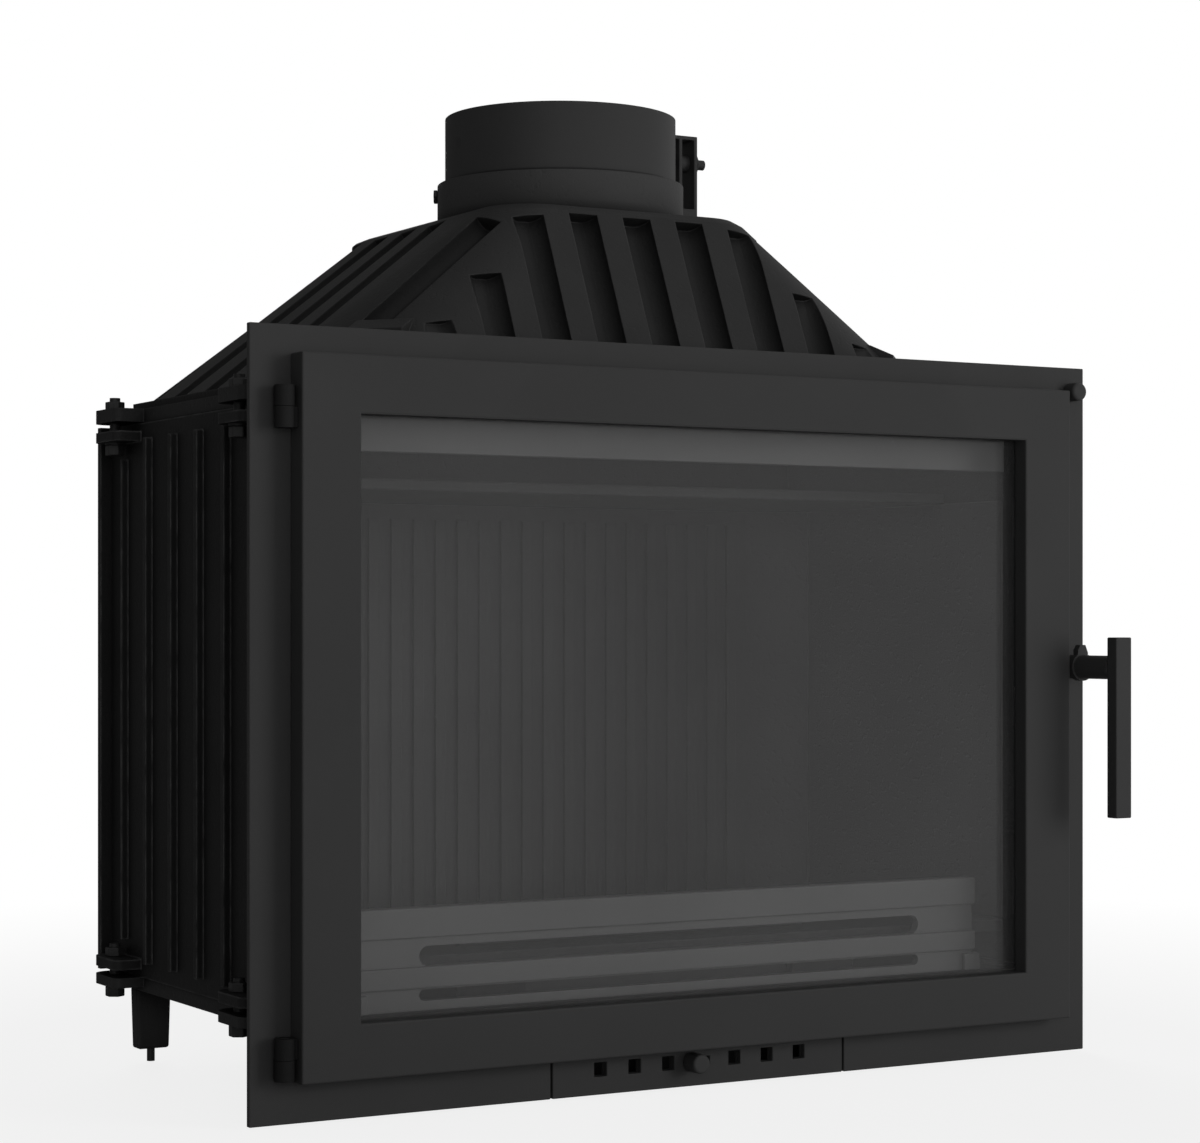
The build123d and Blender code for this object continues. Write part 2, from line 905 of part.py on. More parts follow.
def hood_casting():
    hood = hood_mass(hood_low, hood_top - hood_top_edge, 0) + hood_crown()
    for n in range(1 - len(groove_stops), len(groove_stops)):
        hood -= front_groove(n)
    side_tools = [side_groove(side_groove_first + n * side_groove_pitch) for n in range(side_groove_count)]
    for tool in side_tools + [corner_groove()]:
        hood -= tool
        hood -= mirrored(tool)
    foot = hood_outline(hood_base_half, hood_base_front, hood_back, hood_base_corner, hood_back_corner)
    hood += extrude(Plane.XY.offset(hood_low) * foot, hood_foot_height)
    back = body_back + rear_wall_thickness
    outer = wall_outer - hood_inset
    hood += block(-outer, outer, plate_thickness, back, joint_high, hood_low)
    hood += corner_boss()
    hood += mirrored(corner_boss())
    for side, y in lug_places():
        hood += lug(side, y, hood_low - hood_lug, hood_low)
    for bore in lug_bores(joint_high - 1, hood_low + 1):
        hood -= bore
    hood += rod_z(collar_radius + neck_wall, 0, flue_y, hood_top - hood_roof, neck_top)
    recess = outer - hood_wall
    ledge = hood_low - hood_ledge
    hood -= block(-recess, recess, deflector_y, hood_back - hood_wall, joint_high - 1, ledge)
    hood -= hood_mass(hood_low, hood_top - hood_roof, 1)
    mouth = hood_mass(hood_low, hood_top, 1).faces().sort_by(Axis.Z)[0]
    hood -= extrude(mouth, -hood_ledge - 1, dir=(0, 0, 1))
    hood -= rod_z(collar_radius - neck_ledge, 0, flue_y, hood_top - hood_roof - 5, neck_top + 1)
    hood -= rod_z(collar_radius + collar_play, 0, flue_y, collar_seat, neck_top + 1)
    for angle in collar_screw_angles:
        hood -= collar_screw_shank(angle, collar_screw_radius)
    return hood


# flue collar and damper

def collar_screw_shank(angle, radius):
    length = 2 * neck_wall + collar_wall
    centre = collar_radius - collar_wall + length / 2
    shank = Pos(centre, 0, 0) * Rot(0, 90, 0) * Cylinder(radius, length)
    return Pos(0, flue_y, collar_screw_z) * Rot(0, 0, angle) * shank


def collar_screws():
    screws = []
    for angle in collar_screw_angles:
        reach = collar_radius + neck_wall
        head = Pos(reach, 0, 0) * Rot(0, 90, 0) * hexagon(collar_screw_flats, collar_screw_head)
        shank = Pos((reach + collar_radius - collar_wall) / 2, 0, 0) * Rot(0, 90, 0)
        shank = shank * Cylinder(collar_screw_radius, neck_wall + collar_wall)
        screws.append(Pos(0, flue_y, collar_screw_z) * Rot(0, 0, angle) * (head + shank))
    return screws


def flue_collar():
    tube = rod_z(collar_radius, 0, flue_y, collar_seat, collar_top)
    inner = collar_radius - collar_wall
    tube -= rod_z(inner - collar_ledge, 0, flue_y, collar_seat - 1, collar_top)
    tube -= rod_z(inner, 0, flue_y, collar_top - pipe_depth, collar_top + 1)
    tube -= rod_x(axle_radius + axle_play, -collar_radius - 1, collar_radius + 1, flue_y, axle_z)
    for angle in collar_screw_angles:
        tube -= collar_screw_shank(angle, collar_screw_radius)
    return tube


def damper_bracket():
    y0 = flue_y - bracket_half
    y1 = flue_y + bracket_half
    outer = block(bracket_outer - bracket_sheet, bracket_outer, y0, y1, hood_top, bracket_top)
    inner = block(bracket_inner - bracket_sheet, bracket_inner, y0, y1, hood_top, bracket_top)
    under = bracket_top - bracket_sheet
    top = block(bracket_inner - bracket_sheet, bracket_outer, y0, y1, under, bracket_top)
    foot = block(collar_radius, bracket_outer, y0, y1, hood_top, hood_top + bracket_foot)
    foot -= rod_z(collar_radius + neck_wall, 0, flue_y, hood_top - 1, neck_top)
    bracket = outer + inner + top + foot
    return bracket - rod_x(axle_radius + axle_play, collar_radius, bracket_outer + 1, flue_y, axle_z)


def bracket_tab():
    """Strip from the bracket's top to the collar's wall."""
    y0 = flue_y - bracket_half
    y1 = flue_y + bracket_half
    z0 = bracket_top - bracket_sheet
    tab = block(collar_radius - 6, bracket_inner - bracket_sheet, y0, y1, z0, bracket_top)
    return tab - rod_z(collar_radius, 0, flue_y, z0 - 1, bracket_top + 1)


def damper_axle():
    return rod_x(axle_radius, -collar_radius, axle_end, flue_y, axle_z)


def damper_disc():
    top = axle_z - axle_radius
    return rod_z(disc_radius, 0, flue_y, top - disc_thickness, top)


def damper_straps():
    """Two saddle clamps that hold the disc under its axle."""
    low = axle_z - axle_radius
    straps = []
    for x in (-strap_reach, strap_reach):
        x0 = x - strap_width / 2
        x1 = x + strap_width / 2
        saddle = axle_radius + strap_sheet
        foot = saddle + strap_foot
        strap = block(x0, x1, flue_y - foot, flue_y + foot, low, low + strap_sheet)
        strap += rod_x(saddle, x0, x1, flue_y, axle_z)
        strap += block(x0, x1, flue_y - saddle, flue_y + saddle, low, axle_z)
        strap -= block(x0 - 1, x1 + 1, flue_y - foot, flue_y + foot, low - 2 * strap_sheet, low)
        strap -= block(x0 - 1, x1 + 1, flue_y - axle_radius, flue_y + axle_radius, low - 1, axle_z)
        straps.append(strap - rod_x(axle_radius, x0 - 1, x1 + 1, flue_y, axle_z))
    return straps


def damper_hub():
    """Spacer sleeve on the axle between the bracket's two strips."""
    end = bracket_outer - bracket_sheet - hub_gap
    hub = rod_x(hub_radius, bracket_inner + hub_gap, end, flue_y, axle_z)
    return hub - rod_x(axle_radius, collar_radius, bracket_outer, flue_y, axle_z)


def damper_nut():
    nut = Pos(bracket_outer + hub_gap, flue_y, axle_z) * Rot(0, 90, 0) * hexagon(nut_flats, nut_height)
    return nut - rod_x(axle_radius, bracket_outer - 1, axle_end, flue_y, axle_z)


# fire side

def hearth_plate():
    y1 = back_lining_face + back_lining_thickness
    plate = block(-hearth_half, hearth_half, hearth_front, y1, hearth_low, hearth_low + hearth_thickness)
    lap = grate_lap
    seat = hearth_low + hearth_thickness / 2
    top = hearth_low + hearth_thickness + 1
    half = grate_half - lap
    plate -= block(-half, half, grate_front + lap, grate_back - lap, hearth_low - 1, top)
    half = grate_half + grate_play
    plate -= block(-half, half, grate_front - grate_play, grate_back + grate_play, seat, top)
    return plate


def fire_grate():
    seat = hearth_low + hearth_thickness / 2
    grate = block(-grate_half, grate_half, grate_front, grate_back, seat, seat + grate_thickness)
    pitch = (2 * grate_half - 2 * grate_lap) / grate_bars
    for n in range(grate_bars):
        x = -grate_half + grate_lap + (n + 0.5) * pitch
        slot = SlotOverall(grate_back - grate_front - 2 * grate_rim, grate_slot)
        slot = extrude(slot, 2 * grate_thickness)
        grate -= Pos(x, (grate_front + grate_back) / 2, seat - 1) * Rot(0, 0, 90) * slot
    return grate


def ash_pan():
    low = base_floor_top
    pan = block(-ash_half, ash_half, ash_front, ash_back, low, low + ash_height)
    return pan - block(
        ash_wall - ash_half, ash_half - ash_wall, ash_front + ash_wall, ash_back - ash_wall,
        low + ash_wall, low + ash_height + 1,
    )


def lining_low():
    return hearth_low + hearth_thickness


def right_lining():
    low = lining_low()
    side = block(lining_inner, lining_inner + lining_thickness, lining_front, chamfer_y, low, lining_top)
    return side


def left_lining():
    return mirrored(right_lining())


def back_lining():
    back = back_lining_face + back_lining_thickness
    rim = back_lining_thickness * 0.75
    turn = back_lining_thickness / 2
    outline = Polyline(
        (-lining_inner, chamfer_y), (-chamfer_x, back_lining_face), (chamfer_x, back_lining_face),
        (lining_inner, chamfer_y), (lining_inner + rim, chamfer_y + rim), (chamfer_x + turn, back),
        (-chamfer_x - turn, back), (-lining_inner - rim, chamfer_y + rim), close=True,
    )
    low = lining_low()
    lining = extrude(Plane.XY.offset(low) * make_face(outline), lining_top - low)
    count = int(2 * (chamfer_x - rib_width) / rib_pitch)
    for n in range(count + 1):
        x = (n - count / 2) * rib_pitch
        lining += block(
            x - rib_width / 2, x + rib_width / 2, back_lining_face - rib_height, back_lining_face + 1,
            low, lining_top - rib_top_gap,
        )
    return lining


def baffle_plate():
    outline = Polyline(
        (-hearth_half, baffle_front), (hearth_half, baffle_front), (hearth_half, chamfer_y),
        (chamfer_x, baffle_back), (-chamfer_x, baffle_back), (-hearth_half, chamfer_y), close=True,
    )
    return extrude(Plane.XY.offset(lining_top) * make_face(outline), baffle_thickness)


def log_retainer():
    y0 = retainer_front
    y1 = y0 + retainer_thickness
    plate = block(-retainer_half, retainer_half, y0, y1, retainer_low, retainer_top)
    plate += block(-retainer_half, retainer_half, y0 - retainer_rail, y0 + 1, rail_low, retainer_top)
    plate += block(-retainer_half, retainer_half, y0 - retainer_rail, y0 + 1, low_slot_high + 1, slot_low)
    plate = fillet(plate.edges().filter_by(Axis.X).group_by(Axis.Y)[0], retainer_edge)
    for low, high in ((slot_low, slot_high), (low_slot_low, low_slot_high)):
        slot = extrude(SlotOverall(2 * slot_half, high - low), 2 * retainer_thickness)
        plate -= Pos(0, y1 + 1, (low + high) / 2) * Rot(90, 0, 0) * slot
    return plate


def retainer_brackets():
    shapes = []
    y0 = retainer_front - bracket_play
    y1 = retainer_front + retainer_thickness + bracket_play
    outer = retainer_half + bracket_play + bracket_web
    for side in (-1, 1):
        x = [side * v for v in (retainer_half - bracket_grip, outer, retainer_half + bracket_play)]
        top = retainer_low + bracket_seat
        seat = block(x[0], x[1], y0 - bracket_lip, y1 + bracket_lip, base_floor_top, top)
        shapes.append(seat - block(x[0] - side, x[2], y0, y1, retainer_low, top + 1))
    return shapes


def air_deflector():
    y1 = deflector_y + deflector_thickness
    top = hood_low - hood_ledge - deflector_gap
    return block(-deflector_half, deflector_half, deflector_y, y1, deflector_low, top)


def deflector_screws():
    screws = []
    y = deflector_y + deflector_thickness
    z = (joint_high + hood_low - hood_ledge) / 2
    for x in (-deflector_half / 2, 0, deflector_half / 2):
        screws.append(rod_y(deflector_screw_radius, x, y, y + deflector_screw_head, z))
    return screws


def shapes_of(piece):
    return list(piece) if isinstance(piece, list) else [piece]


top_bolts, top_nuts = corner_bolts(joint_high - wall_lug_gap - wall_lug, hood_low)
bottom_bolts, bottom_nuts = corner_bolts(joint_low - base_lug, joint_low + wall_lug_gap + wall_lug)
pieces = {
    "front_plate": front_plate(),
    "plate_bolts": plate_bolts(),
    "air_panel": air_panel(),
    "air_duct": air_duct(),
    "air_slider": air_slider(),
    "air_knob": air_knob(),
    "door_frame": door_frame(),
    "door_rope": door_rope(),
    "glass_gasket": glass_gasket(),
    "door_glass": door_glass(),
    "glass_clips": glass_clips(),
    "door_keeper": door_keeper(),
    "hinge_knuckles": hinge_knuckles(),
    "hinge_lugs": hinge_lugs(),
    "hinge_pins": hinge_pins(),
    "handle_shaft": handle_shaft(),
    "handle_bar": handle_bar(),
    "latch_cam": latch_cam(),
    "shaft_bush": shaft_bush(),
    "shaft_nut": shaft_nut(),
    "corner_stud": corner_stud(),
    "left_wall": left_wall(),
    "right_wall": right_wall(),
    "rear_wall": rear_wall(),
    "base_casting": base_casting(),
    "sill_strips": sill_strips(),
    "feet": feet(),
    "levelling_screws": levelling_screws(),
    "hood_casting": hood_casting(),
    "top_corner_bolts": top_bolts,
    "top_corner_nuts": top_nuts,
    "bottom_corner_bolts": bottom_bolts,
    "bottom_corner_nuts": bottom_nuts,
    "flue_collar": flue_collar(),
    "collar_screws": collar_screws(),
    "damper_bracket": damper_bracket() + bracket_tab(),
    "damper_axle": damper_axle(),
    "damper_disc": damper_disc(),
    "damper_straps": damper_straps(),
    "damper_hub": damper_hub(),
    "damper_nut": damper_nut(),
    "hearth_plate": hearth_plate(),
    "fire_grate": fire_grate(),
    "ash_pan": ash_pan(),
    "left_lining": left_lining(),
    "right_lining": right_lining(),
    "back_lining": back_lining(),
    "baffle_plate": baffle_plate(),
    "log_retainer": log_retainer(),
    "retainer_brackets": retainer_brackets(),
    "air_deflector": air_deflector(),
    "deflector_screws": deflector_screws(),
}

os.makedirs("parts", exist_ok=True)
for name, piece in pieces.items():
    placed = [Pos(0, -origin_y, 0) * shape for shape in shapes_of(piece)]
    export_step(placed[0] if len(placed) == 1 else Compound(children=placed), f"parts/{name}.step")
print("origin is", origin_y, "mm behind the plate's front face")
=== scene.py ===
import bmesh
import bpy
import json
import math
from mathutils import Matrix, Vector


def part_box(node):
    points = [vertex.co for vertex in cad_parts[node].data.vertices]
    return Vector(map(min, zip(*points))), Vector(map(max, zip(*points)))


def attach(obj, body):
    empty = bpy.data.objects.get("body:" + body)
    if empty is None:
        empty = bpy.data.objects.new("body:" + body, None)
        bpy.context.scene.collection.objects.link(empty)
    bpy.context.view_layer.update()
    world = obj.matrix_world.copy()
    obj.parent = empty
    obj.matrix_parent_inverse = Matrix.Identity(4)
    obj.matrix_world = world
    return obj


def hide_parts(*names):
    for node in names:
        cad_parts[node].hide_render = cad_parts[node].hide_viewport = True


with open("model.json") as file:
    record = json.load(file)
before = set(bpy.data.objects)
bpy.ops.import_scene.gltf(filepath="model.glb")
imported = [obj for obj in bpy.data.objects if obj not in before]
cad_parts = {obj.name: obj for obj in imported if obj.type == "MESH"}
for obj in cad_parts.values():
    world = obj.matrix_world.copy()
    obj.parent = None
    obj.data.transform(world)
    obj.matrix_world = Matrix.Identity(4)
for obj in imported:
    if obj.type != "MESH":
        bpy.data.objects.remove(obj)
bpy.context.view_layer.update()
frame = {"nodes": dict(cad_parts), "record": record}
print("frame loaded:", len(frame["nodes"]), "nodes")


class Wire:  # one socket of a node tree; sums on it add Math nodes
    def __init__(self, tree, socket=None):
        self.tree = tree
        self.socket = socket

    def node(self, kind, settings, values, output=0):
        made = self.tree.nodes.new(kind)
        for name, value in settings.items():
            setattr(made, name, value)
        for name, value in values.items():
            if isinstance(value, Wire):
                self.tree.links.new(value.socket, made.inputs[name])
            else:
                made.inputs[name].default_value = value
        return Wire(self.tree, made.outputs[output] if made.outputs else None)

    def maths(self, operation, *others):
        return self.node("ShaderNodeMath", {"operation": operation}, dict(enumerate((self,) + others)))

    def __add__(self, other):
        return self.maths("ADD", other)

    def __sub__(self, other):
        return self.maths("SUBTRACT", other)

    def __mul__(self, other):
        return self.maths("MULTIPLY", other)

    def __rsub__(self, other):
        return (self * -1) + other

    __radd__ = __add__
    __rmul__ = __mul__

    def limit(self, low, high):  # 0 at low, 1 at high, level beyond
        stretched = (self - low) * (1 / (high - low))
        return stretched.maths("MINIMUM", 1).maths("MAXIMUM", 0)

    def mixColours(self, first, second):  # this socket is the share of the second
        settings = {"data_type": "RGBA", "blend_type": "MIX"}
        return self.node("ShaderNodeMix", settings, {0: self, 6: first, 7: second}, 2)

    def along(self, direction):  # how far this vector reaches in a direction
        return self.node("ShaderNodeVectorMath", {"operation": "DOT_PRODUCT"}, {0: self, 1: direction}, 1)


def grey(level):  # a colour from its brightness on a 0 to 255 screen
    share = level / 255
    linear = share / 12.92 if share <= 0.04045 else ((share + 0.055) / 1.055) ** 2.4
    return (linear, linear, linear, 1)


def tint(red, green, blue):
    return (grey(red)[0], grey(green)[0], grey(blue)[0], 1)


def newFinish(name):
    made = bpy.data.materials.new(name)
    made.use_nodes = True
    made.node_tree.nodes.clear()
    return made, Wire(made.node_tree)


def endFinish(wire, values):
    surface = wire.node("ShaderNodeBsdfPrincipled", {}, values)
    wire.node("ShaderNodeOutputMaterial", {}, {"Surface": surface})


def noise(wire, place, scale, detail=2, roughness=0.5):
    values = {"Vector": place, "Scale": scale, "Detail": detail, "Roughness": roughness}
    return wire.node("ShaderNodeTexNoise", {}, values)


def bump(wire, height, strength, distance, **more):
    return wire.node("ShaderNodeBump", {}, {"Height": height, "Strength": strength, "Distance": distance, **more})


def objectPlace(wire):
    return wire.node("ShaderNodeTexCoord", {}, {}, "Object")


def heightOf(wire, place):
    return wire.node("ShaderNodeSeparateXYZ", {}, {"Vector": place}, "Z")


def edgeWearAndHighlight(wire, radius):  # 1 along the sharp edges, which carry wear and a painted highlight, and the normal that rounds them
    rounded = wire.node("ShaderNodeBevel", {"samples": 4}, {"Radius": radius})
    straight = wire.node("ShaderNodeNewGeometry", {}, {}, "Normal")
    return (1 - rounded.along(straight)).limit(0.01, 0.18), rounded


# the edge tone is rubbed wear and a painted highlight, and the darkest tone is painted shade in hollows
castIron = {
    "dark": 33, "light": 41, "paintedHollowShade": 18, "edge": 54, "round": 0.0016,
    "grain": 620, "patch": 14, "pit": 0.35, "rub": 60, "shade": 0.03, "relief": 0.0006,
    "roughness": 0.6, "specular": 0.2,
}
hoodIron = dict(castIron, neck=52, rise=(0.646, 0.652))
# the walls take a darker copy of the iron as painted shade, and their brighter edge tone is a painted highlight along
# the fins as well as rubbed wear
wallIronPaintedShade = dict(castIron, dark=25, light=32, paintedHollowShade=17, edge=80, round=0.0022)
liningIron = dict(
    castIron, dark=42, light=52, paintedHollowShade=24, edge=66, round=0.0012, grain=520, roughness=0.75, specular=0.15,
)


def ironFinish(name, look):  # matt stove paint over sand-cast iron, rubbed lighter along the edges as wear and a painted highlight, with painted shade in its hollows and grooves
    made, wire = newFinish(name)
    place = objectPlace(wire)
    grain = noise(wire, place, look["grain"], 3, 0.6)
    patches = noise(wire, place, look["patch"], 3, 0.55).limit(0.3, 0.7)
    pits = noise(wire, place, look["grain"] * look["pit"]).limit(0.3, 0.42)
    edge, rounded = edgeWearAndHighlight(wire, look["round"])
    paint = (patches * 0.6 + grain * 0.4).mixColours(grey(look["dark"]), grey(look["light"]))
    if "rise" in look:  # the neck ring is as light as the collar
        paint = heightOf(wire, place).limit(*look["rise"]).mixColours(paint, grey(look["neck"]))
    # painted shade: the iron takes a darker tone where ambient occlusion finds hollows, grooves and corners
    clear = wire.node("ShaderNodeAmbientOcclusion", {"samples": 6}, {"Distance": look["shade"]}, "AO")
    paintWithPaintedShade = clear.limit(0.35, 0.92).mixColours(grey(look["paintedHollowShade"]), paint)
    # the sharp edges are painted lighter, partly as rubbed wear and partly as a painted highlight
    rubbedAndHighlit = edge * noise(wire, place, look["rub"]).limit(0.25, 0.6)
    height = grain * 0.5 + pits * 0.5
    endFinish(wire, {
        "Base Color": rubbedAndHighlit.mixColours(paintWithPaintedShade, grey(look["edge"])),
        "Roughness": grain * 0.12 + (look["roughness"] - 0.06),
        "Specular IOR Level": look["specular"],
        "Normal": bump(wire, height, 0.5, look["relief"], Normal=rounded),
    })
    return made


stovePaint = {"dark": 44, "light": 47, "grain": 1500, "cloud": 9, "roughness": 0.55, "specular": 0.25}
# the collar paint carries a painted shadow line at its foot, where it enters the neck
collarPaint = dict(stovePaint, shadowBand=(0.6752, 0.6768), shadowTone=20)
hingePaint = dict(stovePaint, dark=17, light=23, grain=1200, roughness=0.6, specular=0.2)
railPaint = dict(stovePaint, dark=66, light=74, grain=1200, roughness=0.5)


def paintFinish(name, look):  # sprayed paint on flat steel, with a fine orange peel
    made, wire = newFinish(name)
    place = objectPlace(wire)
    peel = noise(wire, place, look["grain"])
    cloud = noise(wire, place, look["cloud"]).limit(0.3, 0.7)
    colour = (cloud * 0.7 + peel * 0.3).mixColours(grey(look["dark"]), grey(look["light"]))
    if "shadowBand" in look:  # a painted shadow line where the collar enters the neck
        above = heightOf(wire, place).limit(*look["shadowBand"])
        colour = above.mixColours(grey(look["shadowTone"]), colour)
    endFinish(wire, {
        "Base Color": colour,
        "Roughness": peel * 0.08 + (look["roughness"] - 0.04),
        "Specular IOR Level": look["specular"],
        "Normal": bump(wire, peel, 0.25, 0.0003),
    })
    return made


boltSteel = {"dark": (30, 30, 30), "light": (44, 44, 44), "grain": 900, "roughness": 0.45, "metallic": 0.3}
bronze = {"dark": (86, 66, 38), "light": (124, 98, 58), "grain": 1200, "roughness": 0.42, "metallic": 1.0}


def metalFinish(name, look):  # bare or oiled metal with a fine turned grain
    made, wire = newFinish(name)
    grain = noise(wire, objectPlace(wire), look["grain"])
    colour = grain.limit(0.3, 0.7).mixColours(tint(*look["dark"]), tint(*look["light"]))
    endFinish(wire, {
        "Base Color": colour,
        "Metallic": look["metallic"],
        "Roughness": grain * 0.15 + (look["roughness"] - 0.07),
        "Normal": bump(wire, grain, 0.2, 0.0002),
    })
    return made


glass = {"clear": 250, "haze": 170, "thickness": 0.03, "smear": 4, "mirror": 0.5, "straightOn": 0.04, "roughness": 0.02}


def glassFinish(name, look):  # clear ceramic glass under a thin even haze, with a soft mirror image
    made, wire = newFinish(name)
    smear = noise(wire, objectPlace(wire), look["smear"], 3, 0.55).limit(0.25, 0.75)
    clear = wire.node("ShaderNodeBsdfTransparent", {}, {"Color": grey(look["clear"])})
    haze = wire.node("ShaderNodeBsdfDiffuse", {}, {"Color": grey(look["haze"])})
    veiled = wire.node("ShaderNodeMixShader", {}, {0: smear * 0.012 + look["thickness"], 1: clear, 2: haze})
    shine = wire.node("ShaderNodeBsdfGlossy", {}, {
        "Color": grey(255),
        "Roughness": smear * 0.04 + look["roughness"],
    })
    slant = wire.node("ShaderNodeLayerWeight", {}, {"Blend": 0.5}, "Facing")
    edge = (slant.maths("POWER", 5) * (1 - look["straightOn"]) + look["straightOn"]) * look["mirror"]
    both = wire.node("ShaderNodeMixShader", {}, {0: edge, 1: veiled, 2: shine})
    wire.node("ShaderNodeOutputMaterial", {}, {"Surface": both})
    return made


rope = {"dark": 56, "light": 104, "strand": 1700, "lean": 0.6, "fuzz": 2600}


def ropeFinish(name, look):  # braided glass fibre: strands cross on the diagonals of the frame
    made, wire = newFinish(name)
    place = objectPlace(wire)
    ways = [place.along((1, look["lean"], rise)) * look["strand"] for rise in (1, -1)]
    first, second = [way.maths("SINE") * 0.5 + 0.5 for way in ways]
    height = first.maths("MAXIMUM", second) * 0.8 + noise(wire, place, look["fuzz"], 2, 0.6) * 0.2
    endFinish(wire, {
        "Base Color": height.limit(0.35, 0.95).mixColours(grey(look["dark"]), grey(look["light"])),
        "Roughness": 0.9,
        "Specular IOR Level": 0.1,
        "Normal": bump(wire, height, 0.8, 0.0012),
    })
    return made


finishes = {
    "cast_iron": ironFinish("castIron", castIron),
    "painted_steel": paintFinish("stovePaint", stovePaint),
    "bolt_steel": metalFinish("boltSteel", boltSteel),
    "bronze": metalFinish("bronze", bronze),
    "ceramic_glass": glassFinish("ceramicGlass", glass),
    "sealing_rope": ropeFinish("sealingRope", rope),
}
bare = {
    "liningIron": ironFinish("liningIron", liningIron),
    "railPaint": paintFinish("railPaint", railPaint),
    "collarPaint": paintFinish("collarPaint", collarPaint),
    "hoodIron": ironFinish("hoodIron", hoodIron),
    "wallIronPaintedShade": ironFinish("wallIronPaintedShade", wallIronPaintedShade),
    "hingePaint": paintFinish("hingePaint", hingePaint),
}
special = {
    "hood_casting": "hoodIron", "flue_collar": "collarPaint",
    "left_wall": "wallIronPaintedShade", "right_wall": "wallIronPaintedShade", "rear_wall": "wallIronPaintedShade",
    "left_lining": "liningIron", "right_lining": "liningIron", "back_lining": "liningIron",
    "hearth_plate": "liningIron", "baffle_plate": "liningIron", "fire_grate": "liningIron",
    "hinge_knuckles": "hingePaint", "hinge_lugs": "hingePaint",
    "log_retainer": "railPaint", "retainer_brackets": "railPaint", "air_deflector": "railPaint",
}
slotOf = {row["node"]: row["material_slot"] for row in frame["record"]["subparts"]}
bodies = frame["record"]["behaviour"]["bodies"]
bodyOf = {node: body for body, members in bodies.items() for node in members}


def finishOf(node):
    return bare[special[node]] if node in special else finishes[slotOf[node]]


for name, piece in frame["nodes"].items():
    piece.data.materials.clear()
    piece.data.materials.append(finishOf(name))
print("finishes on the nodes:", len(finishes) + len(bare))


def closePiece(name, sheet, node):  # a finished mesh stands for its node and moves with its body
    made = bpy.data.objects.new(name, bpy.data.meshes.new(name))
    bmesh.ops.recalc_face_normals(sheet, faces=sheet.faces)
    sheet.to_mesh(made.data)
    sheet.free()
    bpy.context.scene.collection.objects.link(made)
    made.data.materials.append(finishOf(node))
    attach(made, bodyOf[node])
    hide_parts(node)
    return made


edges = {  # how far each piece's sharp edges are rounded, in metres
    "frontPlate": ("front_plate", 0.0007),
    "airPanel": ("air_panel", 0.0007),
    "doorFrame": ("door_frame", 0.0006),
    "doorKeeper": ("door_keeper", 0.0005),
    "knuckles": ("hinge_knuckles", 0.0006),
    "lugs": ("hinge_lugs", 0.0006),
    "latchCam": ("latch_cam", 0.0004),
    "shaftNut": ("shaft_nut", 0.0009),
    "damperNut": ("damper_nut", 0.0006),
    "damperBracket": ("damper_bracket", 0.0006),
    "collarScrews": ("collar_screws", 0.0006),
    "plateBolts": ("plate_bolts", 0.0006),
    "topBolts": ("top_corner_bolts", 0.0008),
    "topNuts": ("top_corner_nuts", 0.0006),
    "bottomBolts": ("bottom_corner_bolts", 0.0008),
    "bottomNuts": ("bottom_corner_nuts", 0.0006),
    "retainerRails": ("log_retainer", 0.0015),
    "retainerBrackets": ("retainer_brackets", 0.0008),
    "airDeflector": ("air_deflector", 0.0006),
    "feet": ("feet", 0.002),
    "hearth": ("hearth_plate", 0.0015),
    "ashPan": ("ash_pan", 0.0008),
    "clips": ("glass_clips", 0.0006),
    "leftLining": ("left_lining", 0.0015),
    "rightLining": ("right_lining", 0.0015),
    "baffle": ("baffle_plate", 0.0015),
    "rearWall": ("rear_wall", 0.0012),
}


rounding = {
    "weld": 1e-6, "flat": math.radians(0.5), "sharp": math.radians(30), "rim": math.radians(60), "shortest": 2.5,
}


def bevel(sheet, lines, offset, steps):
    bmesh.ops.bevel(
        sheet, geom=lines, offset=offset, offset_type="OFFSET", affect="EDGES",
        segments=steps, profile=0.5, material=-1, clamp_overlap=True,
    )


def roundEdges(name, node, offset):  # the node's own shape, with its long sharp edges rounded
    sheet = bmesh.new()
    sheet.from_mesh(frame["nodes"][node].data)
    bmesh.ops.remove_doubles(sheet, verts=sheet.verts, dist=rounding["weld"])
    bmesh.ops.dissolve_limit(sheet, angle_limit=rounding["flat"], verts=sheet.verts, edges=sheet.edges)
    sharp = [edge for edge in sheet.edges if edge.calc_face_angle() > rounding["sharp"]]
    bevel(sheet, [edge for edge in sharp if edge.calc_length() > rounding["shortest"] * offset], offset, 2)
    return closePiece(name, sheet, node)


for name, (node, offset) in edges.items():
    roundEdges(name, node, offset)
print("rounded pieces:", len(edges))


doorRope = {"width": 0.009, "corner": 0.012, "round": 0.0028, "steps": 5}
glassGasket = {"width": 0.010, "corner": 0.004, "round": 0.0004, "steps": 2}


